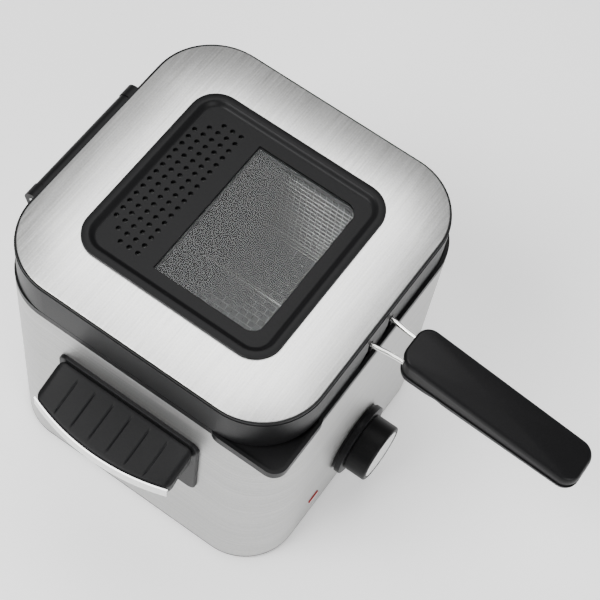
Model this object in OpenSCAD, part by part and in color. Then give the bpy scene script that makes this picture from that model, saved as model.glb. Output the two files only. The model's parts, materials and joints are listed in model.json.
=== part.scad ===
// Compact square deep fryer with a steel wrap, a hinged lid with a window and a lift-out basket.
// +Z is up, -Y is the front with the knob, and the origin is the middle of the footprint on the table.

/* [Housing] */
// Width of the steel wrap, left to right
body_w = 202; // [190:1:250]
// Depth of the steel wrap, front to back
body_d = 205; // [193:1:250]
// Outer radius of the wrap's upright corners
body_r = 37; // [30:1:44]
// Thickness of the wrap's sheet
shell_t = 0.8; // [0.6:0.1:1.5]
// Height of the wrap's lower edge above the table
shell_z = 5; // [4:0.5:8]
// Height of the wrap's upper edge above the table
shell_top = 173.5; // [160:0.5:215]
// Thickness of the base pan's floor
base_t = 2.5; // [2:0.1:4]
// Height of the base pan's side wall above its floor
base_wall_h = 14; // [8:1:20]
// Gap between pieces that slip into each other
slip = 0.2; // [0.1:0.05:0.4]

/* [Collar and spout] */
// Height of the collar's deck, which carries the pot
deck_t = 2; // [1.5:0.1:3]
// Height of the collar's lip above the deck
lip_h = 3.2; // [2:0.1:6]
// Thickness of the collar's lip
lip_t = 2.2; // [1.5:0.1:3]
// How far the pouring spout stands past the side face
spout_side = 2; // [1:0.5:6]
// How far the pouring spout stands past the front face
spout_front = 1; // [0.5:0.5:6]
// Radius of the spout's tip
spout_r = 9; // [6:0.5:12]
// Length of the spout's straight sides
spout_len = 50; // [44:1:60]
// Depth of the spout's tapered underside
spout_drop = 14; // [8:1:20]

/* [Pot and basket] */
// Space between the wrap and the pot at the sides
pot_gap_x = 16; // [13:0.5:30]
// Space between the wrap and the pot at the front and back
pot_gap_y = 17.5; // [13:0.5:30]
// Outer corner radius of the pot
pot_r = 32; // [24:1:40]
// Thickness of the pot's wall
pot_t = 1.2; // [0.8:0.1:2]
// Height of the pot's underside above the table
pot_z = 70; // [66:1:90]
// Width of the pot's resting flange
pot_flange = 7; // [5:0.5:9]
// Space between the pot and the basket at the sides
basket_gap_x = 10.8; // [4:0.2:20]
// Space between the pot and the basket at the front and back
basket_gap_y = 13.8; // [11:0.2:20]
// Basket height from its floor to its rim wire
basket_h = 88; // [60:1:96]
// Basket corner radius
basket_r = 24; // [16:1:30]
// Thickness of the basket's mesh
mesh_t = 1.4; // [1:0.1:2]
// Height of the basket's feet
basket_foot = 6; // [4:0.5:10]
// Diameter of the basket's rim wire
rim_wire_d = 4; // [3:0.5:5]
// Diameter of the handle wires
wire_d = 3; // [2.5:0.1:4]
// Distance between the handle wires at the lid
wire_gap = 20.6; // [16:0.2:26]
// Distance between the handle wires at the grip
wire_gap_grip = 16.6; // [12:0.2:20]
// Height of the handle wires below the lid's top face
wire_drop = 14.5; // [13:0.5:18]

/* [Basket grip] */
// Distance from the front face to the grip
grip_start = 17; // [12:0.5:30]
// Length of the grip
grip_len = 118; // [90:1:140]
// Width of the grip
grip_w = 28.6; // [24:0.2:34]
// Corner radius of the grip's outline
grip_r = 9; // [6:0.5:12]
// Heights of the grip's top, two parting lines and bottom at the wires, below the lid's top face
grip_near = [1.5, 5, 17, 23.3]; // [0:0.1:30]
// The same four heights at the grip's free end
grip_far = [16.5, 21.5, 25, 28.7]; // [0:0.1:40]

/* [Lid] */
// How far the lid plate stops inside the wrap's sides
plate_in_x = 1; // [0.5:0.1:3]
// How far the lid plate stops inside the wrap's front and back
plate_in_y = 2.5; // [2:0.1:4]
// Corner radius of the lid plate
plate_r = 40; // [34:1:46]
// Thickness of the lid plate
plate_t = 0.8; // [0.6:0.1:1.5]
// How far the lid frame stands past the plate at the sides
rim_x = 1.2; // [0.8:0.1:2]
// How far the lid frame stands past the plate at the front and back
rim_y = 1.6; // [0.8:0.1:2.5]
// Height of the whole lid
lid_h = 29; // [26:0.5:34]
// Gap between the lid's skirt and the collar's lip
lid_gap = 1; // [0.6:0.1:2]
// How far the lid sits behind the middle of the wrap
lid_y = 1.2; // [0:0.1:3]
// Thickness of the lid frame's skirt
skirt_t = 2.2; // [1.8:0.1:3]
// Thickness of the lid frame's top deck
lid_deck_t = 2.2; // [1.8:0.1:3]
// Height of each wire notch in the skirt
notch_h = 16.7; // [14:0.1:18]
// Lid angle when it stands open
lid_open = 88; // [60:1:95]

/* [Window and vents] */
// Outer width of the bezel
bezel_w = 135; // [120:1:150]
// Outer corner radius of the bezel
bezel_r = 18; // [14:1:24]
// Height of the bezel's lip above the lid plate
bezel_lip = 1.5; // [0.8:0.1:3]
// Width of the bezel's lip and wall
bezel_wall = 4; // [3:0.5:6]
// Depth of the bezel's floor below the lid plate
bezel_deep = 1.6; // [1:0.1:3]
// Thickness of the bezel's floor
bezel_floor_t = 1.8; // [1.4:0.1:3]
// Width of the window opening
window_w = 103; // [80:1:110]
// Depth of the window opening
window_d = 71; // [50:1:76]
// Radius of the window opening's front corners
window_r = 8; // [3:0.5:12]
// Thickness of the window glass
glass_t = 3; // [2:0.5:4]
// How far the glass reaches under the bezel on each side
glass_lap = 2.2; // [1.5:0.1:4]
// Diameter of a vent hole
vent_d = 3.2; // [2:0.1:4]
// Distance between vent holes
vent_pitch = 6.2; // [5:0.1:7]
// Number of vent holes in each row, from the window to the back
vent_rows = [17, 17, 17, 15, 13]; // [5:1:19]

/* [Hinge] */
// Radius of the hinge pin
pin_r = 2.5; // [2:0.1:3]
// Radial running clearance of the pin and the shaft
run_fit = 0.05; // [0.02:0.01:0.09]
// Outer radius of the lid's hinge barrel
barrel_r = 5.8; // [5:0.1:7]
// Length of the lid's hinge barrel
barrel_l = 79.6; // [60:0.2:100]
// Width of each hinge ear
ear_w = 9; // [7:0.5:12]
// Distance from the wrap's rear face back to the hinge axis
hinge_back = 8.6; // [8.2:0.1:11]
// Height of the hinge axis above the lid's lower edge
hinge_up = 4.5; // [3.5:0.1:7]

/* [Controls] */
// Height of the knob's axis above the table
knob_z = 48; // [44:0.5:52]
// Diameter of the knob at its face
knob_d = 40.4; // [30:0.2:44]
// Height of the knob off its flange
knob_h = 15.4; // [12:0.1:26]
// Diameter of the flange behind the knob
flange_d = 50.6; // [46:0.2:56]
// Thickness of the flange behind the knob
flange_t = 6; // [4:0.1:8]
// How far the flange's rim stands off the wrap, on a narrower step
flange_step = 2; // [1:0.1:3]
// How much narrower that step is than the rim, all round
step_in = 1.2; // [0.6:0.1:3]
// Diameter of the knob's metal cap
cap_d = 33.6; // [24:0.2:36]
// Radius of the thermostat's shaft
shaft_r = 3; // [2.5:0.1:4]
// Sideways place of the indicator
lamp_x = -42.4; // [-60:0.2:-34]
// Height of the indicator above the table
lamp_z = 28.2; // [20:0.2:60]
// Length of the indicator's lens
lamp_w = 10.4; // [6:0.2:16]
// Height of the indicator's lens
lamp_h = 3.2; // [2:0.1:5]
// Sideways place of the cord inlet on the back
inlet_x = 60; // [40:1:62]
// Radius of the cord inlet's bore
inlet_r = 3.7; // [3:0.1:4.5]

/* [Carry handles] */
// Length of a carry handle's flange
handle_l = 101; // [80:1:110]
// Height of a carry handle's flange
handle_h = 62; // [50:1:70]
// Thickness of a carry handle's flange
handle_t = 2.5; // [2:0.1:4]
// Height of the flange's upper edge above the table
handle_top = 144.7; // [130:0.5:155]
// Length of the grip shelf
shelf_l = 97; // [76:1:106]
// How far the shelf stands out in its middle
shelf_out = 34.5; // [28:0.5:42]
// How much less it stands out at its ends
shelf_bow = 8.5; // [4:0.5:12]
// How far the shelf falls towards its edge
shelf_fall = 8.3; // [4:0.1:12]
// Thickness of the shelf at the flange
shelf_t = 9; // [6:0.5:12]
// Height of the shelf's outer edge
shelf_edge = 10; // [8:0.5:14]
// Number of grooves in the shelf
groove_n = 6; // [3:1:8]
// Distance between the grooves
groove_pitch = 13; // [9:0.5:13]
// Thickness of the bright trim on the shelf's edge
trim_t = 1; // [0.6:0.1:2]

/* [Hidden] */
$fn = 64;
e = 0.01;
pot_w = body_w - 2 * pot_gap_x;
pot_d = body_d - 2 * pot_gap_y;
basket_w = pot_w - 2 * pot_t - 2 * basket_gap_x;
basket_d = pot_d - 2 * pot_t - 2 * basket_gap_y;
plate_w = body_w - 2 * plate_in_x;
plate_d = body_d - 2 * plate_in_y;
lid_bottom = shell_top + deck_t + lip_h + lid_gap;
lid_top = lid_bottom + lid_h;
rim_w = plate_w + 2 * rim_x;
rim_d = plate_d + 2 * rim_y;
rim_r = plate_r + rim_x;
front_y = -body_d / 2;
side_x = body_w / 2;
lid_deck_z = lid_top - plate_t - lid_deck_t;
// The bezel's floor carries the vents and laps over the glass
floor_z = lid_top - bezel_deep - bezel_floor_t;
bezel_y = lid_y + 1.2;
window_y = bezel_y - 16;
vent_y = window_y + window_d / 2 + 12.2;
vent_back = vent_y + (len(vent_rows) - 1) * vent_pitch;
vent_half = (max(vent_rows) - 1) / 2 * vent_pitch;
glass_z = floor_z - glass_t;
liner_t = 0.6;
// The gasket stands round the liner's turned-up edge and carries the glass
gasket_in = liner_t + slip;
liner_z = glass_z - 2.5 - liner_t;
liner_w = plate_w - 2 * skirt_t - 8;
liner_d = plate_d - 2 * skirt_t - 8;
filter_gap = 0.8;
lid_boss_r = 3.5;
lid_boss_x = liner_w / 2 - 7;
lid_boss_y = liner_d / 2 - 45.8;
screw_r = 1.5;
// Head of a plain screw
head_r = 3;
head_h = 2;
// Hinge line
hinge_y = body_d / 2 + hinge_back;
hinge_z = lid_bottom + hinge_up;
ear_r = barrel_r + 0.5;
ear_gap = 0.5;
bracket_t = 3;
bracket_h = 26;
pin_l = barrel_l + 2 * ear_gap + 2 * ear_w;
// Pot, heater and basket levels
deck_z = shell_top;
pot_flange_z = deck_z + deck_t;
spreader_t = 2.8;
spreader_r = min(pot_w, pot_d) / 2 - 21;
element_r = 3.3;
element_ring = spreader_r - 14;
element_z = pot_z - spreader_t - element_r - 0.2;
shield_z = element_z - element_r - 3;
shield_w = min(pot_w, pot_d) - 20;
shield_t = 0.8;
leg_r = 5;
leg_x = shield_w / 2 - 15;
basket_z = pot_z + pot_t + basket_foot + 0.3;
rim_z = basket_z + basket_h;
wire_r = wire_d / 2;
wire_z = lid_top - wire_drop;
wire_x = wire_gap / 2;
wire_gx = wire_gap_grip / 2;
basket_front = -basket_d / 2;
bracket_y = basket_front - 1.6;
// Grip outline
grip_y = front_y - grip_start;
grip_mid = grip_y - grip_len / 2;
wire_in = 22;
// Bend of the handle wires above the basket
wire_bend = 8;
// Joints of a bent wire are this much fuller than the wire
bend_full = 1.03;
// Controls
flange_y = front_y - flange_t;
knob_y = flange_y - 0.3;
shaft_tail = 12;
thermo_y = front_y + shell_t + 2;
thermo_lead_y = thermo_y + 18;
fuse_r = 3;
fuse_l = 14;
bulb_r = 2.5;
bulb_l = 60;
terminal_y = body_d / 2 - 42.5;
inlet_z = shell_z + 22;
handle_screw_z = handle_top - 40;
hinge_screw_x = barrel_l / 2 - 8;
hinge_screw_z = shell_top - 14;
// Base
base_in = shell_t + slip;
pad_r = 7;
pad_x = body_w / 2 - 30;
pad_y = body_d / 2 - 30;
// Edge of the pan under the wrap
base_edge = 1;
// Underside of the screw heads below the pan
base_head_z = shell_z - base_edge - head_h;
// Cooling slots through the pan, in two rows
slot_side_n = 4;
slot_pitch = 10;
slot_w = 4;
slot_l = 26;
slot_y = 34;
plinth_in = 4;
plinth_t = 6;
// Carry handles
handle_screw_y = handle_l / 2 - 10;

// ---- shared shapes ----

// Rounded rectangle about the origin
module rounded(w, d, r) {
    square([w - 2 * r, d], center = true);
    square([w, d - 2 * r], center = true);
    for (sx = [-1, 1], sy = [-1, 1])
        translate([sx * (w / 2 - r), sy * (d / 2 - r)]) circle(r);
}

// Slab with rounded corners from z to z + h
module slab(w, d, r, z, h) {
    translate([0, 0, z]) linear_extrude(h) rounded(w, d, r);
}

// Rounded tube with a wall t thick, from z to z + h
module tube(w, d, r, t, z, h) {
    difference() {
        slab(w, d, r, z, h);
        slab(w - 2 * t, d - 2 * t, r - t, z - 1, h + 2);
    }
}

// Straight round bar between two points
module bar(a, b, r) {
    v = b - a;
    l = norm(v);
    translate(a) rotate([0, acos(v.z / l), atan2(v.y, v.x)]) cylinder(r = r, h = l, $fn = 24);
}

// Bars through a list of points, with a ball in each bend
module run(points, r) {
    for (i = [0:len(points) - 2]) bar(points[i], points[i + 1], r);
    for (i = [1:len(points) - 2]) translate(points[i]) sphere(r * bend_full, $fn = 24);
}

// Cylinder along Y from y0 to y1
module along_y(r, y0, y1, x = 0, z = 0) {
    translate([x, y0, z]) rotate([-90, 0, 0]) cylinder(r = r, h = y1 - y0);
}

// Cylinder along X from x0 to x1
module along_x(r, x0, x1, y = 0, z = 0) {
    translate([x0, y, z]) rotate([0, 90, 0]) cylinder(r = r, h = x1 - x0);
}

module four(x, y) {
    for (sx = [-1, 1], sy = [-1, 1]) translate([sx * x, sy * y, 0]) children();
}

// ---- housing ----

// Outline of the indicator, grown by g
module lamp_slot(y0, y1, g) {
    for (s = [-1, 1])
        along_y(lamp_h / 2 + g, y0, y1, lamp_x + s * (lamp_w - lamp_h) / 2, lamp_z);
    translate([lamp_x - (lamp_w - lamp_h) / 2, y0, lamp_z - lamp_h / 2 - g])
        cube([lamp_w - lamp_h, y1 - y0, lamp_h + 2 * g]);
}

module outer_shell() {
    color("silver") difference() {
        tube(body_w, body_d, body_r, shell_t, shell_z, shell_top - shell_z);
        along_y(shaft_r + 3, front_y - 5, front_y + 5, 0, knob_z);
        lamp_slot(front_y - 5, front_y + 5, slip);
        along_y(inlet_r + 3 + slip, body_d / 2 - 5, body_d / 2 + 5, inlet_x, inlet_z);
        for (s = [-1, 1], y = [-1, 1])
            along_x(screw_r + slip, s * side_x - 5, s * side_x + 5, y * handle_screw_y, handle_screw_z);
        for (s = [-1, 1])
            along_y(screw_r + slip, body_d / 2 - 5, body_d / 2 + 5, s * hinge_screw_x, hinge_screw_z);
    }
}

module base_pan() {
    w = body_w - 2 * base_in;
    d = body_d - 2 * base_in;
    r = body_r - base_in;
    color("dimgray") difference() {
        union() {
            tube(body_w - 2 * plinth_in, body_d - 2 * plinth_in, body_r - plinth_in, plinth_t, 0,
                shell_z + e);
            slab(w, d, r, shell_z, base_t);
            tube(body_w, body_d, body_r, plinth_in + 1, shell_z - base_edge, base_edge);
            slab(w, d, r, shell_z - base_edge, base_edge + e);
            tube(w, d, r, 2, shell_z + base_t - e, base_wall_h);
            four(leg_x, leg_x) translate([0, 0, shell_z]) cylinder(r = leg_r + 2, h = base_t + 3);
            four(pad_x, pad_y) translate([0, 0, 1]) cylinder(r = pad_r + 2.5, h = shell_z);
        }
        four(pad_x, pad_y) translate([0, 0, -1]) cylinder(r = pad_r + e, h = 4);
        four(leg_x, leg_x) translate([0, 0, -1]) cylinder(r = screw_r + slip, h = 20);
        for (i = [-slot_side_n:slot_side_n], s = [-1, 1])
            translate([i * slot_pitch - slot_w / 2, s * slot_y - slot_l / 2, shell_z - 1])
                cube([slot_w, slot_l, base_t + 2]);
        along_y(inlet_r + 5, d / 2 - 4, d / 2 + 4, inlet_x, inlet_z);
    }
}

module base_pads() {
    color("black") four(pad_x, pad_y) cylinder(r = pad_r - slip, h = 3);
}

module base_screws() {
    color("gray") four(leg_x, leg_x) {
        translate([0, 0, base_head_z]) cylinder(r = head_r, h = head_h);
        translate([0, 0, base_head_z]) cylinder(r = screw_r, h = shell_z + 14 - base_head_z);
    }
}

// Plan of the collar, drawn in by g all round, with its square pouring corner
module collar_plan(g) {
    rounded(body_w - 2 * g, body_d - 2 * g, body_r - g);
    translate([-side_x - spout_side + spout_len / 2, front_y - spout_front + spout_len / 2])
        rounded(spout_len - 2 * g, spout_len - 2 * g, spout_r - g);
}

module top_collar() {
    in = shell_t + slip;
    color("dimgray") difference() {
        union() {
            translate([0, 0, deck_z]) linear_extrude(deck_t) collar_plan(0);
            translate([0, 0, deck_z]) linear_extrude(deck_t + lip_h) difference() {
                collar_plan(0);
                collar_plan(lip_t);
            }
            tube(body_w - 2 * in, body_d - 2 * in, body_r - in, 2, deck_z - 9, 9 + e);
            spout_underside();
        }
        slab(pot_w + 2 * slip, pot_d + 2 * slip, pot_r + slip, deck_z - 20, 40);
    }
}

// The spout's underside tapers back to the wrap's corner and stays outside it
module spout_underside() {
    x = -side_x - spout_side + spout_len / 2;
    y = front_y - spout_front + spout_len / 2;
    back = 8;
    difference() {
        hull() {
            translate([x, y, deck_z - 1]) linear_extrude(1 + e)
                rounded(spout_len, spout_len, spout_r, $fn = 32);
            translate([x + back, y + back, deck_z - spout_drop]) linear_extrude(1)
                rounded(spout_len - back, spout_len - back, spout_r + 9, $fn = 32);
        }
        slab(body_w + 0.1, body_d + 0.1, body_r, deck_z - 2 * spout_drop, 2 * spout_drop);
    }
}

module inner_pot() {
    w = pot_w + 2 * pot_flange;
    d = pot_d + 2 * pot_flange;
    color("gainsboro") difference() {
        union() {
            slab(pot_w, pot_d, pot_r, pot_z, pot_flange_z + pot_t - pot_z);
            slab(w, d, pot_r + pot_flange, pot_flange_z, pot_t);
        }
        slab(pot_w - 2 * pot_t, pot_d - 2 * pot_t, pot_r - pot_t, pot_z + pot_t, deck_z);
    }
}

// ---- heater and controls inside ----

module heat_spreader() {
    color("lightgray") translate([0, 0, pot_z - spreader_t]) cylinder(r = spreader_r, h = spreader_t);
}

// Tubular heater bent to an open ring, with two cold ends that turn down
module heating_element() {
    gap = 36;
    color("darkgray") {
        translate([0, 0, element_z]) rotate([0, 0, gap / 2 - 90]) rotate_extrude(angle = 360 - gap)
            translate([element_ring, 0]) circle(element_r, $fn = 24);
        for (s = [-1, 1]) {
            p = element_ring * [s * sin(gap / 2), -cos(gap / 2), 0] + [0, 0, element_z];
            translate(p) sphere(element_r * bend_full, $fn = 24);
            translate(p - [0, 0, 22]) cylinder(r = element_r, h = 22, $fn = 24);
        }
    }
}

module heat_shield() {
    color("lightgray") difference() {
        union() {
            slab(shield_w, shield_w, 20, shield_z, shield_t);
            tube(shield_w, shield_w, 20, shield_t, shield_z, 5);
            four(leg_x, leg_x) translate([0, 0, shell_z + base_t + 3])
                cylinder(r = leg_r, h = shield_z - shell_z - base_t - 3 + e);
        }
        four(leg_x, leg_x) cylinder(r = screw_r + e, h = shell_z + 18);
        translate([-22, -element_ring - 6, shield_z - 1]) cube([44, 16, 3]);
        translate([34, -element_ring - 30, shield_z - 1]) cube([6, 12, 8]);
    }
}

module thermostat_body() {
    color("white") difference() {
        union() {
            translate([-15, thermo_y + 6, knob_z - 13]) cube([30, 20, 22]);
            along_y(shaft_r + 4, front_y + shell_t, thermo_y + 6 + e, 0, knob_z);
        }
        along_y(shaft_r + run_fit, thermo_y - 5, thermo_y + shaft_tail + slip, 0, knob_z);
    }
}

// Sensing bulb under the pot, with its fine tube down to the thermostat
module thermostat_capillary() {
    z = pot_z - bulb_r - 0.1;
    x = spreader_r + 5;
    color("goldenrod") {
        translate([x, -bulb_l / 2, z]) rotate([-90, 0, 0]) cylinder(r = bulb_r, h = bulb_l, $fn = 24);
        run([
            [x, -bulb_l / 2, z], [x, thermo_lead_y, z],
            [x, thermo_lead_y, knob_z], [15 + e, thermo_lead_y, knob_z]
        ], 0.8);
    }
}

module thermal_fuse() {
    z = pot_z - spreader_t - fuse_r - 0.2;
    color("tan") {
        translate([-40, 0, z]) rotate([0, 90, 0]) cylinder(r = fuse_r, h = fuse_l);
        translate([-45, -0.6, z - 0.6]) cube([fuse_l + 10, 1.2, 1.2]);
        translate([-38, -2, z]) cube([fuse_l - 4, 4, fuse_r + 0.2]);
    }
}

module terminal_block() {
    color("ivory") difference() {
        translate([14, terminal_y, shell_z + base_t]) cube([34, 16, 12]);
        for (i = [0:2])
            translate([20 + i * 11, terminal_y + 8, shell_z + base_t + 4]) cylinder(r = 2.2, h = 10);
    }
}

// Leads from the terminal block to the heater's cold ends and the thermostat
module wiring() {
    z = shell_z + base_t + 6;
    low = element_z - 22;
    wy = thermo_lead_y;
    x = element_ring * sin(18);
    y = -element_ring * cos(18);
    color("white") {
        run([[20, terminal_y, z], [x, terminal_y - 20, z], [x, y, z], [x, y, low]], 1.2);
        run([[31, terminal_y, z], [31, wy, z], [8, wy, z], [8, wy, knob_z - 13]], 1.2);
        run([[-x, y, low], [-x, y, z], [-8, wy, z], [-8, wy, knob_z - 13]], 1.2);
    }
}

module cord_inlet() {
    y = body_d / 2;
    color("black") difference() {
        union() {
            along_y(inlet_r + 3, y - shell_t - 5, y + 2, inlet_x, inlet_z);
            along_y(inlet_r + 5, y, y + 2, inlet_x, inlet_z);
            along_y(inlet_r + 4.6, y - shell_t - 3.4, y - shell_t - 0.2, inlet_x, inlet_z);
        }
        along_y(inlet_r, y - 20, y + 20, inlet_x, inlet_z);
    }
}

module knob_flange() {
    color("dimgray") difference() {
        union() {
            along_y(flange_d / 2, flange_y, front_y - flange_step, 0, knob_z);
            along_y(flange_d / 2 - step_in, front_y - flange_step - e, front_y, 0, knob_z);
            along_y(shaft_r + 2.6, front_y - e, front_y + shell_t, 0, knob_z);
        }
        along_y(shaft_r + 0.6, flange_y - 5, front_y + 5, 0, knob_z);
    }
}

module knob() {
    wall = 2;
    r = knob_d / 2;
    color("dimgray") translate([0, knob_y, knob_z]) rotate([90, 0, 0]) difference() {
        rotate_extrude($fn = 96) polygon([
            [0, 0.5], [r - wall, 0.5], [r - wall, 0], [r, 0], [r, knob_h - 1],
            [r - 1, knob_h], [cap_d / 2 + 0.1, knob_h], [cap_d / 2 + 0.1, knob_h - 1], [0, knob_h - 1]
        ]);
        translate([0, 0, -1]) cylinder(r = shaft_r + e, h = knob_h - 4);
    }
}

module knob_cap() {
    y = knob_y - knob_h + 1;
    color("silver") along_y(cap_d / 2, y - 0.8, y, 0, knob_z);
}

module thermostat_shaft() {
    color("gray") along_y(shaft_r, knob_y - knob_h + 5.2, thermo_y + shaft_tail, 0, knob_z);
}

module indicator_lens() {
    color("red") {
        lamp_slot(front_y - 1, front_y + shell_t + 3, 0);
        // Shoulder that bears on the inside of the wrap
        lamp_slot(front_y + shell_t, front_y + shell_t + 1, 1);
    }
}

module indicator_lamp() {
    y = front_y + shell_t + 3;
    color("orange") {
        along_y(2.6, y, y + 16, lamp_x, lamp_z);
        translate([lamp_x - 5, y + 16 - e, lamp_z - 3.5]) cube([10, 4, 7]);
    }
}

// ---- carry handles ----

// Side profile of the shelf, from the flange outwards, as x and z
module shelf_profile() {
    x = shelf_out;
    polygon([
        [0, 0], [x, -shelf_fall], [x, -shelf_fall - shelf_edge], [x - 5, -shelf_fall - shelf_edge],
        [x - 7, -shelf_fall - shelf_edge + 5], [0, -shelf_t - 3]
    ]);
}

// Plan of the shelf with its bowed outer edge, drawn in by g at that edge
module shelf_plan(g, l) {
    rise = shelf_bow;
    half = shelf_l / 2;
    arc_r = (half * half + rise * rise) / (2 * rise);
    intersection() {
        translate([-1, -l / 2]) square([shelf_out + 2, l]);
        translate([shelf_out - g - arc_r, 0]) circle(arc_r, $fn = 180);
    }
}

// A carry handle on the +X side, at the origin of the wrap's side face
module handle(side) {
    z0 = handle_top - 3.4;
    groove = 0.5;
    color("dimgray") mirror([side < 0 ? 1 : 0, 0, 0]) difference() {
        union() {
            translate([side_x, 0, handle_top - handle_h / 2]) rotate([90, 0, 90])
                linear_extrude(handle_t) rounded(handle_l, handle_h, 6);
            translate([side_x + handle_t - e, 0, z0]) intersection() {
                translate([0, shelf_l / 2, 0]) rotate([90, 0, 0]) linear_extrude(shelf_l) shelf_profile();
                translate([0, 0, -60]) linear_extrude(80) shelf_plan(trim_t, shelf_l);
            }
        }
        for (i = [0:groove_n - 1]) translate([side_x + handle_t, (i - (groove_n - 1) / 2) * groove_pitch, z0])
            rotate([0, atan(shelf_fall / shelf_out), 0]) translate([7, -groove, -groove])
                cube([20, 2 * groove, 2]);
        for (y = [-1, 1])
            along_x(screw_r, side_x - 1, side_x + handle_t - 0.6, y * handle_screw_y, handle_screw_z);
    }
}

// Bright strip that follows the bowed edge
module handle_trim(side) {
    z0 = handle_top - 3.4 - shelf_fall - shelf_edge;
    color("silver") mirror([side < 0 ? 1 : 0, 0, 0]) translate([side_x + handle_t - e, 0, z0])
        linear_extrude(shelf_edge - 1) difference() {
            shelf_plan(0, shelf_l);
            shelf_plan(trim_t, shelf_l + 2);
        }
}

module handle_screws() {
    color("gray") for (s = [-1, 1], y = [-1, 1]) {
        x = side_x - shell_t;
        mirror([s < 0 ? 1 : 0, 0, 0]) {
            along_x(screw_r, x - 1, side_x + handle_t - 0.8, y * handle_screw_y, handle_screw_z);
            along_x(head_r, x - head_h, x, y * handle_screw_y, handle_screw_z);
        }
    }
}

// ---- hinge ----

// Side profile of an ear, as y and z: a round head on a foot that runs down the back
module ear_profile() {
    translate([hinge_y, hinge_z]) circle(ear_r, $fn = 48);
    polygon([
        [body_d / 2, shell_top - 2], [body_d / 2, shell_top - bracket_h + 2],
        [body_d / 2 + bracket_t, shell_top - bracket_h],
        [hinge_y + ear_r - 0.4, hinge_z - 2], [hinge_y, hinge_z], [hinge_y - ear_r + 0.4, hinge_z - 2],
        [body_d / 2 + bracket_t, shell_top + 2]
    ]);
}

module hinge_bracket() {
    x = barrel_l / 2 + ear_gap;
    color("dimgray") difference() {
        union() {
            for (s = [-1, 1]) translate([s > 0 ? x : -x - ear_w, 0, 0])
                rotate([90, 0, 90]) linear_extrude(ear_w) ear_profile();
            translate([-x - e, body_d / 2, shell_top - bracket_h])
                cube([2 * x + 2 * e, bracket_t, bracket_h]);
        }
        along_x(pin_r + e, -pin_l, pin_l, hinge_y, hinge_z);
        for (s = [-1, 1])
            along_y(screw_r + slip, body_d / 2 - 1, body_d / 2 + 9, s * hinge_screw_x, hinge_screw_z);
    }
}

module hinge_pin() {
    color("gray") along_x(pin_r, -pin_l / 2, pin_l / 2, hinge_y, hinge_z);
}

module hinge_screws() {
    y = body_d / 2;
    color("gray") for (s = [-1, 1]) {
        along_y(screw_r, y - shell_t - 6, y + bracket_t, s * hinge_screw_x, hinge_screw_z);
        along_y(head_r, y + bracket_t, y + bracket_t + 1.6, s * hinge_screw_x, hinge_screw_z);
    }
}

// ---- lid ----

module lid_plate() {
    color("silver") translate([0, lid_y, 0]) difference() {
        slab(plate_w, plate_d, plate_r, lid_top - plate_t, plate_t);
        bezel_hole(0);
    }
}

// The hole that the bezel's wall drops through, grown by g
module bezel_hole(g) {
    w = bezel_w - 6 + 2 * g;
    translate([0, bezel_y - lid_y, 0]) slab(w, w, bezel_r - 3 + g, lid_top - 40, 60);
}

// A notch in the front skirt for one wire: one side upright, the other sloping
module notch() {
    top = notch_h;
    translate([0, lid_y - rim_d / 2 + skirt_t + 2, lid_bottom]) rotate([90, 0, 0]) linear_extrude(skirt_t + 4)
        polygon([[-9, -1], [-2.3, 8.5], [-2.3, top], [2.3, top], [2.3, -1]]);
}

module lid_frame() {
    h = lid_deck_z + lid_deck_t - lid_bottom;
    edge = 1.6;
    web_y = lid_y + rim_d / 2 - 1;
    color("dimgray") difference() {
        union() {
            translate([0, lid_y, 0]) difference() {
                union() {
                    slab(rim_w, rim_d, rim_r, lid_bottom, h - edge);
                    slab(rim_w - 0.8, rim_d - 0.8, rim_r - 0.4, lid_bottom + 1, h + plate_t - 1.3);
                }
                slab(plate_w, plate_d, plate_r, lid_deck_z + lid_deck_t, 10);
                slab(rim_w - 2 * skirt_t, rim_d - 2 * skirt_t, rim_r - skirt_t, lid_bottom - 1,
                    lid_deck_z - lid_bottom + 1);
                bezel_hole(0.2);
            }
            translate([0, lid_y, 0]) for (x = [-1, 1], y = [-1, 0, 1])
                translate([x * lid_boss_x, y * lid_boss_y, liner_z + liner_t])
                    cylinder(r = lid_boss_r, h = lid_deck_z - liner_z - liner_t + e);
            along_x(barrel_r, -barrel_l / 2, barrel_l / 2, hinge_y, hinge_z);
            translate([-barrel_l / 2, web_y, hinge_z + 0.4]) cube([barrel_l, hinge_y - web_y, 5]);
        }
        along_x(pin_r + run_fit, -barrel_l, barrel_l, hinge_y, hinge_z);
        for (s = [-1, 1]) translate([s * wire_x, 0, 0]) notch();
        translate([0, lid_y, 0]) for (x = [-1, 1], y = [-1, 0, 1])
            translate([x * lid_boss_x, y * lid_boss_y, liner_z - 1]) cylinder(r = screw_r, h = 6);
    }
}

// The window's opening: square corners behind, round corners in front, grown by g
module window_plan(g) {
    w = window_w + 2 * g;
    d = window_d + 2 * g;
    translate([0, window_y]) {
        rounded(w, d, window_r);
        translate([-w / 2, 0]) square([w, d / 2]);
    }
}

module lid_bezel() {
    top = lid_top + bezel_lip;
    inner = bezel_w - 2 * bezel_wall;
    color("dimgray") difference() {
        union() {
            translate([0, bezel_y, 0]) slab(bezel_w, bezel_w, bezel_r, lid_top, bezel_lip);
            translate([0, bezel_y, 0])
                slab(bezel_w - 6.4, bezel_w - 6.4, bezel_r - 3.2, floor_z, lid_top - floor_z + e);
        }
        translate([0, bezel_y, 0]) slab(inner, inner, bezel_r - bezel_wall, floor_z + bezel_floor_t, top);
        translate([0, 0, floor_z - 1]) linear_extrude(20) window_plan(0);
        for (row = [0:len(vent_rows) - 1], i = [0:vent_rows[row] - 1])
            translate([(i - (vent_rows[row] - 1) / 2) * vent_pitch, vent_y + row * vent_pitch, floor_z - 1])
                cylinder(d = vent_d, h = bezel_floor_t + 2, $fn = 20);
    }
}

module window_glass() {
    color("lightblue", 0.4) translate([0, 0, glass_z]) linear_extrude(glass_t) window_plan(glass_lap);
}

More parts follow.
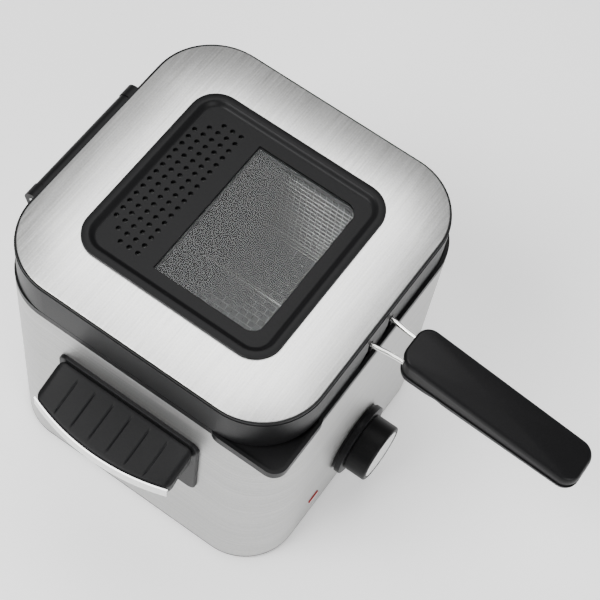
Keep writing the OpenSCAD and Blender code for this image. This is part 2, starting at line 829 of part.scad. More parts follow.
module window_gasket() {
    wall = 1.8;
    color("black") difference() {
        translate([0, 0, liner_z + liner_t]) linear_extrude(floor_z - liner_z - liner_t)
            window_plan(glass_lap + wall);
        translate([0, 0, glass_z]) linear_extrude(20) window_plan(glass_lap);
        translate([0, 0, liner_z - 1]) linear_extrude(20) window_plan(gasket_in);
    }
}

// The filter covers the whole field of vents
module filter_field(g, z, h) {
    translate([-vent_half - g, vent_y - g, z]) cube([2 * vent_half + 2 * g, vent_back - vent_y + 2 * g, h]);
}

module filter_mesh() {
    color("gray") filter_field(3, liner_z + liner_t, floor_z - liner_z - liner_t - filter_gap);
}

module filter_cover() {
    color("silver") difference() {
        filter_field(6, liner_z - 1, 1);
        for (i = [-7:7], j = [0:3])
            translate([i * 6.2, vent_y + 3 + j * 6.2, liner_z - 2]) cylinder(r = 1.5, h = 3, $fn = 16);
    }
}

module lid_liner() {
    color("silver") difference() {
        union() {
            translate([0, lid_y, 0]) slab(liner_w, liner_d, plate_r - skirt_t - 4, liner_z, liner_t);
            translate([0, 0, liner_z]) linear_extrude(glass_z - liner_z - slip) window_plan(liner_t);
        }
        translate([0, 0, liner_z - 1]) linear_extrude(20) window_plan(0);
        filter_field(2, liner_z - 1, 3);
        translate([0, lid_y, 0]) for (x = [-1, 1], y = [-1, 0, 1])
            translate([x * lid_boss_x, y * lid_boss_y, liner_z - 1]) cylinder(r = screw_r + slip, h = 3);
    }
}

module lid_screws() {
    color("gray") translate([0, lid_y, 0]) for (x = [-1, 1], y = [-1, 0, 1])
        translate([x * lid_boss_x, y * lid_boss_y, liner_z]) {
            translate([0, 0, -1.5]) cylinder(r = 2.8, h = 1.5);
            translate([0, 0, -1]) cylinder(r = screw_r - e, h = 5);
        }
}

// ---- basket ----

module basket_mesh() {
    color("lightgray") difference() {
        slab(basket_w, basket_d, basket_r, basket_z, basket_h);
        slab(basket_w - 2 * mesh_t, basket_d - 2 * mesh_t, basket_r - mesh_t, basket_z + mesh_t, basket_h);
    }
}

// Round wire bent to the basket's outline: four straights and four quarter bends
module basket_rim() {
    r = rim_wire_d / 2;
    x = basket_w / 2 - basket_r;
    y = basket_d / 2 - basket_r;
    color("silver") translate([0, 0, rim_z + r]) {
        for (s = [-1, 1]) {
            along_y(r, -y, y, s * basket_w / 2, 0);
            along_x(r, -x, x, s * basket_d / 2, 0);
        }
        for (q = [[1, 1, 0], [-1, 1, 90], [-1, -1, 180], [1, -1, 270]])
            translate([q.x * x, q.y * y, 0]) rotate([0, 0, q.z]) rotate_extrude(angle = 90)
                translate([basket_r, 0]) circle(r, $fn = 24);
    }
}

// Two wire skids under the basket's floor
module basket_feet() {
    r = 1.5;
    top = basket_z;
    low = basket_z - basket_foot + r;
    y = basket_d / 2 - 24;
    color("silver") for (s = [-1, 1])
        run([[s * 36, -y, top], [s * 36, -y, low], [s * 36, y, low], [s * 36, y, top]], r);
}

// Sheet bracket that carries the handle wires on the basket's front
module basket_bracket() {
    w = wire_gap + 16;
    top = rim_z - 1;
    color("silver") difference() {
        translate([-w / 2, bracket_y, top - 34]) cube([w, 1.6, 34]);
        for (s = [-1, 1]) along_y(2, bracket_y - 1, bracket_y + 4, s * 5, top - 26);
    }
}

// Hook at the back that hangs the lifted basket on the pot's flange
module drain_hook() {
    r = 1.5;
    y = basket_d / 2 + 0.05;
    color("silver") for (s = [-1, 1])
        run([[s * 12, y + r, rim_z - 22], [s * 12, y + r, rim_z - 6], [s * 12, y + 7, rim_z - 14]], r);
}

module handle_wires() {
    foot = rim_z - 30;
    y0 = bracket_y - wire_r;
    color("silver") for (s = [-1, 1])
        run([
            [s * wire_x, y0, foot], [s * wire_x, y0, wire_z - wire_bend],
            [s * wire_x, y0 - 0.13 * wire_bend, wire_z - 0.5 * wire_bend],
            [s * wire_x, y0 - 0.5 * wire_bend, wire_z - 0.13 * wire_bend],
            [s * wire_x, y0 - wire_bend, wire_z], [s * wire_x, front_y, wire_z],
            [s * wire_gx, grip_y + 2, wire_z], [s * wire_gx, grip_y - wire_in, wire_z]
        ], wire_r);
}

// Grip slice between two levels of its side profile
module grip_slice(upper, lower) {
    y1 = grip_y;
    y2 = grip_y - grip_len;
    intersection() {
        translate([0, grip_mid, lid_top - 60]) linear_extrude(80) rounded(grip_w, grip_len, grip_r);
        rotate([90, 0, 90]) translate([0, 0, -grip_w]) linear_extrude(2 * grip_w) polygon([
            [y1, lid_top - grip_near[upper]], [y2, lid_top - grip_far[upper]],
            [y2, lid_top - grip_far[lower]], [y1, lid_top - grip_near[lower]]
        ]);
    }
}

// Screws stand upright through the lower shell and the core
grip_screw_y = [grip_y - 38, grip_y - 86];

function grip_level(k, y) = lid_top - grip_near[k] + (grip_near[k] - grip_far[k]) * (grip_y - y) / grip_len;

module grip_top() {
    color("dimgray") difference() {
        grip_slice(0, 1);
        for (y = grip_screw_y) translate([0, y, grip_level(1, y) - 4]) cylinder(r = screw_r, h = 6);
    }
}

module grip_core() {
    color("dimgray") difference() {
        grip_slice(1, 2);
        for (s = [-1, 1]) along_y(wire_r + run_fit, grip_y - wire_in - 1, grip_y + 1, s * wire_gx, wire_z);
        for (y = grip_screw_y) translate([0, y, lid_top - 40]) cylinder(r = screw_r + slip, h = 50);
    }
}

module grip_bottom() {
    color("dimgray") difference() {
        grip_slice(2, 3);
        for (y = grip_screw_y) {
            translate([0, y, lid_top - 40]) cylinder(r = screw_r + slip, h = 50);
            translate([0, y, grip_level(3, y) - 5]) cylinder(r = 3 + slip, h = 6.5);
        }
    }
}

module grip_screws() {
    color("gray") for (y = grip_screw_y) {
        top = grip_level(1, y) + 1.5;
        seat = grip_level(3, y) + 1.5;
        translate([0, y, seat - 1]) cylinder(r = screw_r - e, h = top - seat + 1);
        translate([0, y, seat - 1.2]) cylinder(r = 3, h = 1.2);
    }
}

outer_shell();
base_pan();
base_pads();
base_screws();
top_collar();
inner_pot();
heat_spreader();
heating_element();
heat_shield();
thermostat_body();
thermostat_capillary();
thermal_fuse();
terminal_block();
wiring();
cord_inlet();
knob_flange();
knob();
knob_cap();
thermostat_shaft();
indicator_lens();
indicator_lamp();
handle(-1);  // left_handle
handle(1);  // right_handle
handle_trim(-1);  // left_handle_trim
handle_trim(1);  // right_handle_trim
handle_screws();
hinge_bracket();
hinge_pin();
hinge_screws();
lid_plate();
lid_frame();
lid_bezel();
window_glass();
window_gasket();
filter_mesh();
filter_cover();
lid_liner();
lid_screws();
basket_mesh();
basket_rim();
basket_feet();
basket_bracket();
drain_hook();
handle_wires();
grip_top();
grip_core();
grip_bottom();
grip_screws();
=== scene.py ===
import json
import bpy
import numpy as np
from mathutils import Matrix, Vector


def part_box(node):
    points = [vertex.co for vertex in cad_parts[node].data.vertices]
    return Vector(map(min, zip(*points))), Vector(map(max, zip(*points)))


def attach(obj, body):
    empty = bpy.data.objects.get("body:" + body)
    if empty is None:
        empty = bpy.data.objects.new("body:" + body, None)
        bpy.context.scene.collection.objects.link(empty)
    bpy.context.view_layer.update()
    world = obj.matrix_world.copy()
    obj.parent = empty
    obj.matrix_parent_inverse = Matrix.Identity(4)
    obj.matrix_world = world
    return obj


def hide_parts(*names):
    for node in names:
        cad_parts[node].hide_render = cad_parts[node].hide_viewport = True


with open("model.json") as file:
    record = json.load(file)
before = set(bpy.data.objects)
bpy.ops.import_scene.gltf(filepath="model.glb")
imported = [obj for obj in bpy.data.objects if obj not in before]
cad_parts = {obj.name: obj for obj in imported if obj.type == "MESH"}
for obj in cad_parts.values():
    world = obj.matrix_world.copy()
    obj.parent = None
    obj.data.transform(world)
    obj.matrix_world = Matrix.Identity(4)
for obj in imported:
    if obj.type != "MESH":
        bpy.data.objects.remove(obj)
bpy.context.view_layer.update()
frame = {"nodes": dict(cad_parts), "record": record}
print("frame loaded", len(frame["nodes"]), "nodes")

mm = 0.001
turn = 2 * np.pi


def boxMm(node):  # the node's lowest and highest corner in millimetres
    low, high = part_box(node)
    return np.array(low) / mm, np.array(high) / mm


def roundedLoop(w, d, r, z, cx=0.0, cy=0.0, arc=14, side=2):
    # four quarter circles whose centres sit r inside the corners, joined by straights
    a = np.linspace(0, turn / 4, arc + 1)
    pieces = []
    for sx, sy, start in ((1, 1, 0), (-1, 1, 1), (-1, -1, 2), (1, -1, 3)):
        t = a + start * turn / 4
        x = cx + sx * (w / 2 - r) + r * np.cos(t)
        y = cy + sy * (d / 2 - r) + r * np.sin(t)
        pieces.append(np.stack([x, y], 1))
    flat = []
    for k in range(4):
        f = np.linspace(0, 1, side + 2)[1:-1, None]
        flat += [pieces[k], pieces[k][-1] * (1 - f) + pieces[(k + 1) % 4][0] * f]
    flat = np.concatenate(flat)
    return np.column_stack([flat, np.broadcast_to(z, len(flat))])


def loft(rings, along=False, caps=(False, False)):
    # ring i, point j joins ring i + 1, point j + 1 in one quad; a cap is a fan from the ring's mean
    rings = np.asarray(rings, float)
    m, n = rings.shape[:2]
    i = np.arange(m if along else m - 1)[:, None]
    j = np.arange(n)[None]
    k = (j + 1) % n
    quads = np.stack([i * n + j, i * n + k, (i + 1) % m * n + k, (i + 1) % m * n + j], -1)
    verts = rings.reshape(-1, 3)
    faces = quads.reshape(-1, 4).tolist()
    for which, cap in zip((0, m - 1), caps):
        if cap:
            centre = len(verts)
            verts = np.vstack([verts, rings[which].mean(0)])
            edge = which * n + np.arange(n)
            nextEdge = np.roll(edge, -1)
            pair = (nextEdge, edge) if which == 0 else (edge, nextEdge)
            faces += np.column_stack([np.full(n, centre), *pair]).tolist()
    return outward(verts, faces)


def outward(verts, faces):
    # six times the enclosed volume: the sum of each triangle's triple product
    total = 0.0
    for f in (np.array([q for q in faces if len(q) == 4]), np.array([q for q in faces if len(q) == 3])):
        for k in range(1, f.shape[1] - 1) if len(f) else ():
            a, b, c = verts[f[:, 0]], verts[f[:, k]], verts[f[:, k + 1]]
            total += np.einsum("ij,ij->", a, np.cross(b, c))
    return verts, faces if total > 0 else [q[::-1] for q in faces]


def tube(path, radius, ref, closed=False, sides=8):
    # a circle carried along the path, squared up against the direction ref
    path = np.asarray(path, float)
    t = np.roll(path, -1, 0) - np.roll(path, 1, 0) if closed else np.gradient(path, axis=0)
    t /= np.linalg.norm(t, axis=1)[:, None]
    ref = np.asarray(ref, float)
    u = ref - (t @ ref)[:, None] * t
    u /= np.linalg.norm(u, axis=1)[:, None]
    v = np.cross(t, u)
    a = np.arange(sides) * turn / sides
    ring = np.cos(a)[:, None, None] * u + np.sin(a)[:, None, None] * v
    return loft((path + radius * ring).transpose(1, 0, 2), closed, (not closed, not closed))


def lathe(profile, centre, count=96):
    # each radius and distance in front turns round an axis along Y
    a = np.arange(count) * turn / count
    rings = [
        np.stack([centre[0] + r * np.cos(a), np.full(count, centre[1] - h), centre[2] + r * np.sin(a)], 1)
        for r, h in profile
    ]
    return loft(rings, False, (True, True))


def softPath(points, times=4):
    # corner cutting: each pass keeps the quarter points of every straight
    p = np.asarray(points, float)
    for _ in range(times):
        q = np.empty((2 * len(p) - 2, 3))
        q[0::2] = 0.75 * p[:-1] + 0.25 * p[1:]
        q[1::2] = 0.25 * p[:-1] + 0.75 * p[1:]
        p = np.vstack([p[:1], q, p[-1:]])
    return p


def roundProfile(points, radius, steps=6, step=1.5):
    # a quadratic curve through each corner, starting radius away from it on both sides,
    # with points about one step apart along the straights between them
    p = np.asarray(points, float)
    out = []
    f = np.linspace(0, 1, steps + 1)[:, None]
    for k in range(len(p)):
        a, b, c = p[k - 1], p[k], p[(k + 1) % len(p)]
        s = b + (a - b) / np.linalg.norm(a - b) * min(radius, np.linalg.norm(a - b) * 0.45)
        g = b + (c - b) / np.linalg.norm(c - b) * min(radius, np.linalg.norm(c - b) * 0.45)
        out.append((1 - f) ** 2 * s + 2 * f * (1 - f) * b + f**2 * g)
    filled = []
    for k, piece in enumerate(out):
        a, b = piece[-1], out[(k + 1) % len(out)][0]
        count = max(int(np.linalg.norm(b - a) / step), 1)
        filled += [piece, a + (b - a) * np.linspace(0, 1, count + 1)[1:-1, None]]
    return np.concatenate(filled)


def makePiece(name, parts, body, material, stands=(), sharp=0.7):
    verts, faces, base = [], [], 0
    for v, f in parts:
        verts.append(v)
        faces += [[i + base for i in q] for q in f]
        base += len(v)
    mesh = bpy.data.meshes.new(name)
    mesh.from_pydata((np.concatenate(verts) * mm).tolist(), [], faces)
    mesh.polygons.foreach_set("use_smooth", np.ones(len(faces), bool))
    mesh.set_sharp_from_angle(angle=sharp)
    mesh.materials.append(material)
    obj = bpy.data.objects.new(name, mesh)
    bpy.context.scene.collection.objects.link(obj)
    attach(obj, body)
    if stands:
        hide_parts(*stands)
    return obj


class Sock:
    tree = None

    def __init__(self, socket):
        self.socket = socket

    @classmethod
    def node(cls, kind, inputs=(), out=0, **settings):
        made = cls.tree.nodes.new(kind)
        for key, value in settings.items():
            setattr(made, key, value)
        for key, value in dict(inputs).items():
            if isinstance(value, Sock):
                cls.tree.links.new(value.socket, made.inputs[key])
            else:
                made.inputs[key].default_value = value
        return Sock(made.outputs[out])

    def maths(self, operation, other, swap=False):
        pair = (other, self) if swap else (self, other)
        return Sock.node("ShaderNodeMath", {0: pair[0], 1: pair[1]}, operation=operation)

    def __add__(self, other):
        return self.maths("ADD", other)

    def __radd__(self, other):
        return self.maths("ADD", other, True)

    def __sub__(self, other):
        return self.maths("SUBTRACT", other)

    def __rsub__(self, other):
        return self.maths("SUBTRACT", other, True)

    def __mul__(self, other):
        return self.maths("MULTIPLY", other)

    def __rmul__(self, other):
        return self.maths("MULTIPLY", other, True)


def noise(stretch, scale, detail=4.0):
    where = Sock.node("ShaderNodeTexCoord", out=3)
    placed = Sock.node("ShaderNodeMapping", {"Vector": where, "Scale": stretch})
    return Sock.node("ShaderNodeTexNoise", {"Vector": placed, "Scale": scale, "Detail": detail})


def blendColour(factor, a, b):
    return Sock.node("ShaderNodeMix", {0: factor, 6: (*a, 1), 7: (*b, 1)}, 2, data_type="RGBA")


def makeMaterial(name, look):
    material = bpy.data.materials.new(name)
    material.use_nodes = True
    tree = material.node_tree
    Sock.tree = tree
    shader = tree.nodes["Principled BSDF"]
    grain = noise(look["stretch"], look["scale"])
    cloud = noise((1, 1, 1), look.get("cloudScale", 25), 3.0)
    mixed = 0.6 * grain + 0.4 * cloud
    for socket, value in (
        ("Base Color", blendColour(mixed, look["dark"], look["light"])),
        ("Roughness", look["rough"] + look["roughSpread"] * (mixed - 0.5)),
        ("Normal", Sock.node("ShaderNodeBump", {"Strength": look["bump"], "Distance": 0.0002,
                                                "Height": grain})),
    ):
        tree.links.new(value.socket, shader.inputs[socket])
    shader.inputs["Metallic"].default_value = look.get("metal", 0)
    shader.inputs["Specular IOR Level"].default_value = look.get("shine", 0.5)
    shader.inputs["IOR"].default_value = look.get("ior", 1.5)
    shader.inputs["Coat Weight"].default_value = look.get("coat", 0)
    shader.inputs["Transmission Weight"].default_value = look.get("clear", 0)
    return material


looks = {
    "brushed_steel": dict(stretch=(8, 300, 300), scale=3, dark=(0.26, 0.26, 0.255), light=(0.92, 0.92, 0.91),
                          rough=0.34, roughSpread=0.20, bump=0.10, metal=1, cloudScale=900),
    "black_plastic": dict(stretch=(1, 1, 1), scale=900, dark=(0.0035, 0.0035, 0.0038),
                          light=(0.011, 0.011, 0.0115),
                          rough=0.38, roughSpread=0.14, bump=0.18, shine=0.09),
    "grip_plastic": dict(stretch=(1, 1, 1), scale=1100, dark=(0.003, 0.003, 0.0033),
                         light=(0.009, 0.009, 0.0095),
                         rough=0.36, roughSpread=0.14, bump=0.15, shine=0.09),
    "polished_metal": dict(stretch=(1, 1, 1), scale=250, dark=(0.66, 0.66, 0.65), light=(0.85, 0.85, 0.84),
                           rough=0.16, roughSpread=0.10, bump=0.03, metal=1),
    "pad_rubber": dict(stretch=(1, 1, 1), scale=700, dark=(0.01, 0.01, 0.01), light=(0.035, 0.035, 0.035),
                       rough=0.80, roughSpread=0.15, bump=0.30),
    "pot_aluminium": dict(stretch=(1, 1, 30), scale=60, dark=(0.34, 0.34, 0.34), light=(0.58, 0.58, 0.57),
                          rough=0.40, roughSpread=0.20, bump=0.08, metal=1),
    "pot_coating": dict(stretch=(1, 1, 1), scale=800, dark=(0.030, 0.030, 0.031), light=(0.062, 0.062, 0.063),
                        rough=0.40, roughSpread=0.20, bump=0.15),
    "inner_steel": dict(stretch=(40, 1, 1), scale=60, dark=(0.35, 0.35, 0.35), light=(0.62, 0.62, 0.61),
                        rough=0.38, roughSpread=0.20, bump=0.08, metal=1),
    "screw_steel": dict(stretch=(1, 1, 1), scale=500, dark=(0.36, 0.36, 0.37), light=(0.60, 0.60, 0.60),
                        rough=0.32, roughSpread=0.16, bump=0.06, metal=1),
    "basket_wire": dict(stretch=(1, 1, 1), scale=400, dark=(0.62, 0.62, 0.60), light=(0.88, 0.88, 0.86),
                        rough=0.22, roughSpread=0.14, bump=0.04, metal=1),
    "window_glass": dict(stretch=(1, 1, 1), scale=30, dark=(0.62, 0.64, 0.64), light=(0.72, 0.74, 0.74),
                         rough=0.02, roughSpread=0.005, bump=0.0, clear=0.97, ior=1.18),
    "copper": dict(stretch=(1, 1, 1), scale=200, dark=(0.55, 0.24, 0.12), light=(0.85, 0.48, 0.30),
                   rough=0.30, roughSpread=0.16, bump=0.05, metal=1),
    "ceramic": dict(stretch=(1, 1, 1), scale=300, dark=(0.55, 0.52, 0.46), light=(0.76, 0.73, 0.67),
                    rough=0.35, roughSpread=0.12, bump=0.08),
    "red_lens": dict(stretch=(1, 1, 1), scale=150, dark=(0.16, 0.003, 0.005), light=(0.42, 0.010, 0.012),
                     rough=0.16, roughSpread=0.08, bump=0.02, coat=0.5),
    "lamp_glass": dict(stretch=(1, 1, 1), scale=150, dark=(0.60, 0.22, 0.05), light=(0.85, 0.40, 0.12),
                       rough=0.15, roughSpread=0.08, bump=0.02),
}
materials = {slot: makeMaterial(slot, look) for slot, look in looks.items()}
filterLook = dict(looks["inner_steel"], dark=(0.02, 0.02, 0.02), light=(0.07, 0.07, 0.07), scale=900,
                  bump=0.4)
materials["filter_gauze"] = makeMaterial("filter_gauze", filterLook)
shadedWrapLook = dict(looks["brushed_steel"], stretch=(5, 5, 320), rough=0.44, dark=(0.18, 0.18, 0.18),
                light=(0.64, 0.64, 0.63))  # grain runs round the wrap; its dark and light colours are darker than the lid's brushed steel: painted shade on the upright sides
materials["wrap_steel_painted_shade"] = makeMaterial("wrap_steel_painted_shade", shadedWrapLook)
for entry in frame["record"]["subparts"]:
    data = frame["nodes"][entry["node"]].data
    data.materials.clear()
    data.materials.append(materials[entry["material_slot"]])
frame["nodes"]["filter_mesh"].data.materials[0] = materials["filter_gauze"]
print("materials made", len(materials))


wrap = dict(radius=37, sheet=0.8, edge=0.25)
low, high = boxMm("outer_shell")
w, d = high[0] - low[0], high[1] - low[1]
t, soft = wrap["sheet"], wrap["edge"]
wrapProfile = [(0, low[2] + soft), (0, high[2] - soft), (soft, high[2]), (t - soft, high[2]),
               (t, high[2] - soft), (t, low[2] + soft), (t - soft, low[2]), (soft, low[2])]
rings = [roundedLoop(w - 2 * i, d - 2 * i, wrap["radius"] - i, z, arc=32) for i, z in wrapProfile]
makePiece("steelWrap", [loft(rings, True)], "housing", materials["wrap_steel_painted_shade"],
          ["outer_shell"])


plate = dict(radius=40, edge=0.5, hole=129, holeRadius=15)
low, high = boxMm("lid_plate")
bezelLow, bezelHigh = boxMm("lid_bezel")
w = high[0] - low[0]
cy, bezelY = (low[1] + high[1]) / 2, (bezelLow[1] + bezelHigh[1]) / 2
soft = plate["edge"]
rings = [roundedLoop(w - 2 * i, w - 2 * i, plate["radius"] - i, z, cy=cy, arc=32)
         for i, z in ((0, low[2]), (0, high[2] - soft), (0.15, high[2] - 0.15), (soft, high[2]))]
rings += [roundedLoop(plate["hole"], plate["hole"], plate["holeRadius"], z, cy=bezelY, arc=32)
          for z in (high[2], low[2])]
makePiece("lidPlate", [loft(rings, True)], "lid", materials["brushed_steel"], ["lid_plate"])
topZ = high[2]

lip = dict(radius=18, width=4.1, slope=4.4, rise=1.52, sink=1.5, soft=0.6)
w = bezelHigh[0] - bezelLow[0] + 0.1
lipProfile = [(0, 0), (0, lip["rise"] - lip["soft"]), (0.18, lip["rise"] - 0.18), (lip["soft"], lip["rise"]),
              (lip["width"] - 0.8, lip["rise"])]
for f in np.linspace(0, 1, 12):  # half a cosine wave from the lip down to the floor
    drop = (lip["rise"] + lip["sink"]) * (0.5 - 0.5 * np.cos(np.pi * f))
    lipProfile.append((lip["width"] + lip["slope"] * f, lip["rise"] - drop))
lipProfile += [(lip["width"] + lip["slope"], -lip["sink"] - 0.3), (lip["width"], -lip["sink"] - 0.3)]
rings = [roundedLoop(w - 2 * i, w - 2 * i, lip["radius"] - i, topZ + z, cy=bezelY, arc=24)
         for i, z in lipProfile]
makePiece("bezelLip", [loft(rings, True)], "lid", materials["black_plastic"])
print("wrap, plate and bezel made")


dial = dict(soft=1.4, ring=0.5, ringDepth=0.9, bore=3.2)
low, high = boxMm("knob")
capLow, capHigh = boxMm("knob_cap")
centre = np.array([0, high[1], (low[2] + high[2]) / 2])
tall, soft = high[1] - low[1], dial["soft"]
r, capR = (high[0] - low[0]) / 2, (capHigh[0] - capLow[0]) / 2
profile = [(dial["bore"], 0.1), (r - 0.3, 0), (r, 0.3)]
profile += [(r, f * (tall - soft)) for f in np.linspace(0.1, 1, 6)]
profile += [(r - soft * (1 - np.cos(a)), tall - soft * (1 - np.sin(a)))
            for a in np.linspace(0.2, turn / 4, 7)]
profile += [(capR + dial["ring"], tall), (capR + dial["ring"], tall - dial["ringDepth"]),
            (dial["bore"], tall - dial["ringDepth"] - 0.05)]
makePiece("dialBody", [lathe(profile, centre, 160)], "dial", materials["black_plastic"],
          ["knob"])

step = dict(off=2.0, inset=1.2, edge=0.6, bore=4)
flangeLow, flangeHigh = boxMm("knob_flange")
shellFront = boxMm("outer_shell")[0][1]
r = (flangeHigh[0] - flangeLow[0]) / 2
deep, edge, inset = shellFront - flangeLow[1], step["edge"], step["inset"]
front = np.array([0, shellFront, centre[2]])
flangeProfile = [(step["bore"], 0), (r - inset, 0), (r - inset, step["off"]), (r - 0.2, step["off"]),
                 (r, step["off"] + 0.2), (r, deep - edge), (r - 0.18, deep - 0.18), (r - edge, deep),
                 (step["bore"], deep)]
makePiece("dialFlange", [lathe(flangeProfile, front, 160)], "housing", materials["black_plastic"],
          ["knob_flange"])
print("dial made")


carry = dict(length=97, out=33.5, rise=8.5, fall=8.3, edge=10, under=12, endSoft=4.0, corner=1.6,
             grooves=6, pitch=13, depth=0.55, width=0.38, grooveFrom=5, grooveTo=28, flange=2.5,
             flangeSoft=0.7, flangeRadius=6, drop=3.4)


def bowed(y):  # the front edge is an arc through both ends and the middle
    half, rise = carry["length"] / 2, carry["rise"]
    radius = (half**2 + rise**2) / (2 * rise)
    return carry["out"] - radius + np.sqrt(radius**2 - y**2)


def carryHandle(side, node):
    # one section carried along Y, widened by the arc, drawn in at the ends and pressed by the grooves
    low, high = boxMm(node)
    wall = boxMm("outer_shell")[1][0]
    start = wall + carry["flange"] - 0.2
    top = high[2] - carry["drop"]
    out, fall, edge = carry["out"], carry["fall"], carry["edge"]
    section = roundProfile([(0, 0), (out, -fall), (out, -fall - edge), (out - 5, -fall - edge),
                            (out - 7, -fall - edge + 5), (0, -carry["under"])], carry["corner"])
    middle = section.mean(0)
    half, soft = carry["length"] / 2, carry["endSoft"]
    ends = half - soft * (1 - np.sin(np.linspace(0, turn / 4, 10)[:-1]))
    ys = np.concatenate([-ends[::-1], np.linspace(-half + soft, half - soft, 361)[1:-1], ends])
    rings = []
    for y in ys:
        over = np.clip((abs(y) - half + soft) / soft, 0, 1)
        shrink = 1 - soft * (1 - np.sqrt(1 - over**2)) / 12
        p = middle + (section - middle) * shrink
        p = np.column_stack([p[:, 0] * bowed(y) / out, p[:, 1]])
        middles = (np.arange(carry["grooves"]) - (carry["grooves"] - 1) / 2) * carry["pitch"]
        near = (y - middles) / carry["width"]
        onTop = p[:, 1] > -fall * p[:, 0] / out - 0.8
        onTop = onTop * np.clip((p[:, 0] - carry["grooveFrom"]) / 2, 0, 1)
        onTop = onTop * np.clip((carry["grooveTo"] - p[:, 0]) / 2, 0, 1)
        z = p[:, 1] - carry["depth"] * np.exp(-near**2).sum() * onTop
        rings.append(np.column_stack([side * (start + p[:, 0]), np.full(len(p), y), top + z]))
    shelf = loft(rings, False, (True, True))
    flat = []
    s = carry["flangeSoft"]
    for i, h in ((0, 0), (0, carry["flange"] - s), (0.2, carry["flange"] - 0.2), (s, carry["flange"]),
                 (s + 0.4, carry["flange"])):
        loop = roundedLoop(high[1] - low[1] - 2 * i, high[2] - low[2] - 2 * i, carry["flangeRadius"] - i, 0)
        across = np.full(len(loop), side * (wall + h))
        flat.append(np.column_stack([across, loop[:, 0], loop[:, 1] + (low[2] + high[2]) / 2]))
    return [shelf, loft(flat, False, (True, True))]


for side, word in ((-1, "left"), (1, "right")):
    makePiece(word + "CarryHandle", carryHandle(side, word + "_handle"), "housing",
              materials["black_plastic"], [word + "_handle"])
print("carry handles made")


grip = dict(radius=9, crown=2.0, belly=1.8, seam=0.7, wave=1.6, waveY=-147, waveWidth=4.0)
near, far = (1.5, 5, 17, 23.3), (16.5, 21.5, 25, 28.7)  # depths below the lid's top face
low, high = boxMm("grip_core")
gripW, gripL = high[0] - low[0], high[1] - low[1]
gripY = (low[1] + high[1]) / 2


def gripRing(inset, level, toward, share):
    # an outline part of the way from one sloping level to the next, with a bump in the lowest edge
    loop = roundedLoop(gripW - 2 * inset, gripL - 2 * inset, grip["radius"] - inset, 0, cy=gripY, arc=10,
                       side=40)
    f = np.clip((high[1] - loop[:, 1]) / gripL, 0, 1)
    a = near[level] + (far[level] - near[level]) * f
    b = near[toward] + (far[toward] - near[toward]) * f
    z = topZ - a - (b - a) * share
    if level == 2 and toward == 3:
        z += share * grip["wave"] * np.exp(-(((loop[:, 1] - grip["waveY"]) / grip["waveWidth"]) ** 2))
    loop[:, 2] = z
    return loop


bend = np.linspace(0, turn / 4, 8)
topRings = [gripRing(0, 1, 0, 0)]
topRings += [gripRing(grip["crown"] * (1 - np.cos(a)), 1, 0, np.sin(a)) for a in bend[1:]]
coreRings = [gripRing(grip["seam"], 1, 2, s) for s in (0, 0.5, 1)]
lowRings = [gripRing(0, 2, 3, 0)]
lowRings += [gripRing(grip["belly"] * (1 - np.cos(a)), 2, 3, np.sin(a)) for a in bend[1:]]
for name, rings, node in (("gripTop", topRings, "grip_top"), ("gripCore", coreRings, "grip_core"),
                          ("gripBottom", lowRings, "grip_bottom")):
    makePiece(name, [loft(rings, False, (True, True))], "basket", materials["grip_plastic"],
              [node])

wire = dict(radius=1.5, atLid=10.3, atGrip=8.3, below=14.5, into=22, bend=8, foot=30, kink=(-98, -103))
rimLow, rimHigh = boxMm("basket_rim")
bracketLow, bracketHigh = boxMm("basket_bracket")
wireZ, y0 = topZ - wire["below"], bracketLow[1] - wire["radius"]
parts = []
for s in (-1, 1):
    x0, x1 = s * wire["atLid"], s * wire["atGrip"]
    path = [(x0, y0, rimLow[2] - wire["foot"]), (x0, y0, wireZ - wire["bend"]), (x0, y0, wireZ),
            (x0, y0 - wire["bend"], wireZ), (x0, wire["kink"][0], wireZ), (x0, wire["kink"][1], wireZ),
            (x1, high[1] + 2, wireZ), (x1, high[1] - wire["into"], wireZ)]
    parts.append(tube(softPath(path), wire["radius"], (1, 0, 0), sides=20))
makePiece("handleWirePair", parts, "basket", materials["basket_wire"], ["handle_wires"])
print("grip and handle wires made")


weave = dict(pitch=4.4, radius=0.36, amplitude=0.36, corner=24, step=1.5, bendRadius=5)
low, high = boxMm("basket_mesh")
halfX, halfY = high[0] - 1, high[1] - 1
floorZ, rimZ, corner = low[2] + 1.1, high[2], weave["corner"] - 1


def reach(across, halfAcross, halfAlong):
    # where a line at this distance across meets the rounded outline
    past = np.maximum(np.abs(across) - (halfAcross - corner), 0)
    return halfAlong - corner + np.sqrt(np.maximum(corner**2 - past**2, 0))


def hoop(across, halfAcross, halfAlong, axis, phase):
    # down one wall, round a quarter bend, over the floor and up again, with a cosine weave
    end, b = reach(across, halfAcross, halfAlong), weave["bendRadius"]
    a = np.linspace(0, turn / 4, 8)
    down = np.linspace(rimZ, floorZ + b, int((rimZ - floorZ) / weave["step"]))
    acrossFloor = np.linspace(-(end - b), end - b, int(2 * end / weave["step"]))
    along = np.concatenate([np.full(len(down), -end), -(end - b) - b * np.cos(a[1:-1]), acrossFloor,
                            (end - b) + b * np.sin(a[1:-1]), np.full(len(down), end)])
    z = np.concatenate([down, floorZ + b - b * np.sin(a[1:-1]), np.full(len(acrossFloor), floorZ),
                        floorZ + b - b * np.cos(a[1:-1]), down[::-1]])
    wave = phase * weave["amplitude"] * np.cos(np.pi * along / weave["pitch"])
    wallWave = phase * weave["amplitude"] * np.cos(np.pi * (z - floorZ) / weave["pitch"])
    onFloor = np.abs(along) < end - b
    z = z + wave * onFloor
    along = along + np.where(onFloor, 0, np.sign(along) * wallWave * (z > floorZ + b))
    fixed = np.full(len(z), across)
    path = np.column_stack([fixed, along, z] if axis == "y" else [along, fixed, z])
    return tube(path, weave["radius"], (1, 0, 0) if axis == "y" else (0, 1, 0), sides=5)


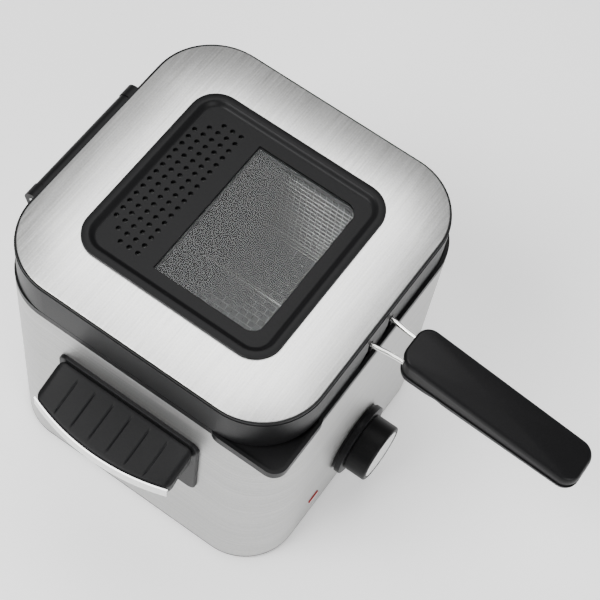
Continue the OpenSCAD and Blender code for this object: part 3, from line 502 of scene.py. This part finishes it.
countX, countY = int((halfX - 4) / weave["pitch"]), int((halfY - 4) / weave["pitch"])
alongY = [hoop(i * weave["pitch"], halfX, halfY, "y", (-1) ** i) for i in range(-countX, countX + 1)]
alongX = [hoop(i * weave["pitch"], halfY, halfX, "x", -((-1) ** i)) for i in range(-countY, countY + 1)]
makePiece("basketWiresY", alongY, "basket", materials["basket_wire"], ["basket_mesh"],
          sharp=1.5)
makePiece("basketWiresX", alongX, "basket", materials["basket_wire"], sharp=1.5)
loops = []
for k in range(1, int((rimZ - floorZ) / weave["pitch"])):
    path = roundedLoop(2 * halfX, 2 * halfY, corner, floorZ + k * weave["pitch"], arc=12, side=50)
    loops.append(tube(path, weave["radius"], (0, 0, 1), True, 5))
makePiece("basketHoops", loops, "basket", materials["basket_wire"], sharp=1.5)
print("basket woven", len(alongX) + len(alongY), "wires")


view = dict(lens=99.81, sensor=36, place=(-0.4189, -0.2447, 1.0257), right=(0.57031, -0.81642, 0.0906),
            down=(-0.69953, -0.54053, -0.46743), forward=(0.43059, 0.2032, -0.87937))
camera = bpy.data.cameras.new("camera")
camera.lens, camera.sensor_width = view["lens"], view["sensor"]
cameraObject = bpy.data.objects.new("camera", camera)
bpy.context.scene.collection.objects.link(cameraObject)
axes = (Vector(view["right"]), -Vector(view["down"]), -Vector(view["forward"]))
cameraObject.matrix_world = Matrix.Translation(view["place"]) @ Matrix(axes).transposed().to_4x4()
bpy.context.scene.camera = cameraObject

floorMesh = bpy.data.meshes.new("floor")
floorMesh.from_pydata([(-6, -6, 0), (6, -6, 0), (6, 6, 0), (-6, 6, 0)], [], [(0, 1, 2, 3)])
floor = bpy.data.objects.new("floor", floorMesh)
bpy.context.scene.collection.objects.link(floor)
floorMaterial = bpy.data.materials.new("floor")
floorMaterial.use_nodes = True
floorShader = floorMaterial.node_tree.nodes["Principled BSDF"]
floorShader.inputs["Base Color"].default_value = (0.9, 0.9, 0.9, 1)
floorShader.inputs["Roughness"].default_value = 0.9
floorShader.inputs["Emission Color"].default_value = (1, 1, 1, 1)
floorShader.inputs["Emission Strength"].default_value = 0.38
floorMesh.materials.append(floorMaterial)


def areaLight(name, place, target, size, power):
    light = bpy.data.lights.new(name, "AREA")
    light.size, light.energy = size, power
    obj = bpy.data.objects.new(name, light)
    bpy.context.scene.collection.objects.link(obj)
    obj.location = place
    obj.rotation_euler = (Vector(target) - Vector(place)).to_track_quat("-Z", "Y").to_euler()


areaLight("key", (-0.9, 0.5, 1.5), (0, 0, 0.1), 0.8, 36)
areaLight("fill", (-0.7, -1.3, 0.8), (0, 0, 0.1), 0.9, 20)
areaLight("top", (0.5, 0.3, 1.8), (0, 0, 0.2), 1.2, 24)
world = bpy.data.worlds.new("world")
world.use_nodes = True
world.node_tree.nodes["Background"].inputs[0].default_value = (1, 1, 1, 1)
world.node_tree.nodes["Background"].inputs[1].default_value = 0.3
bpy.context.scene.world = world
print("camera and light set")
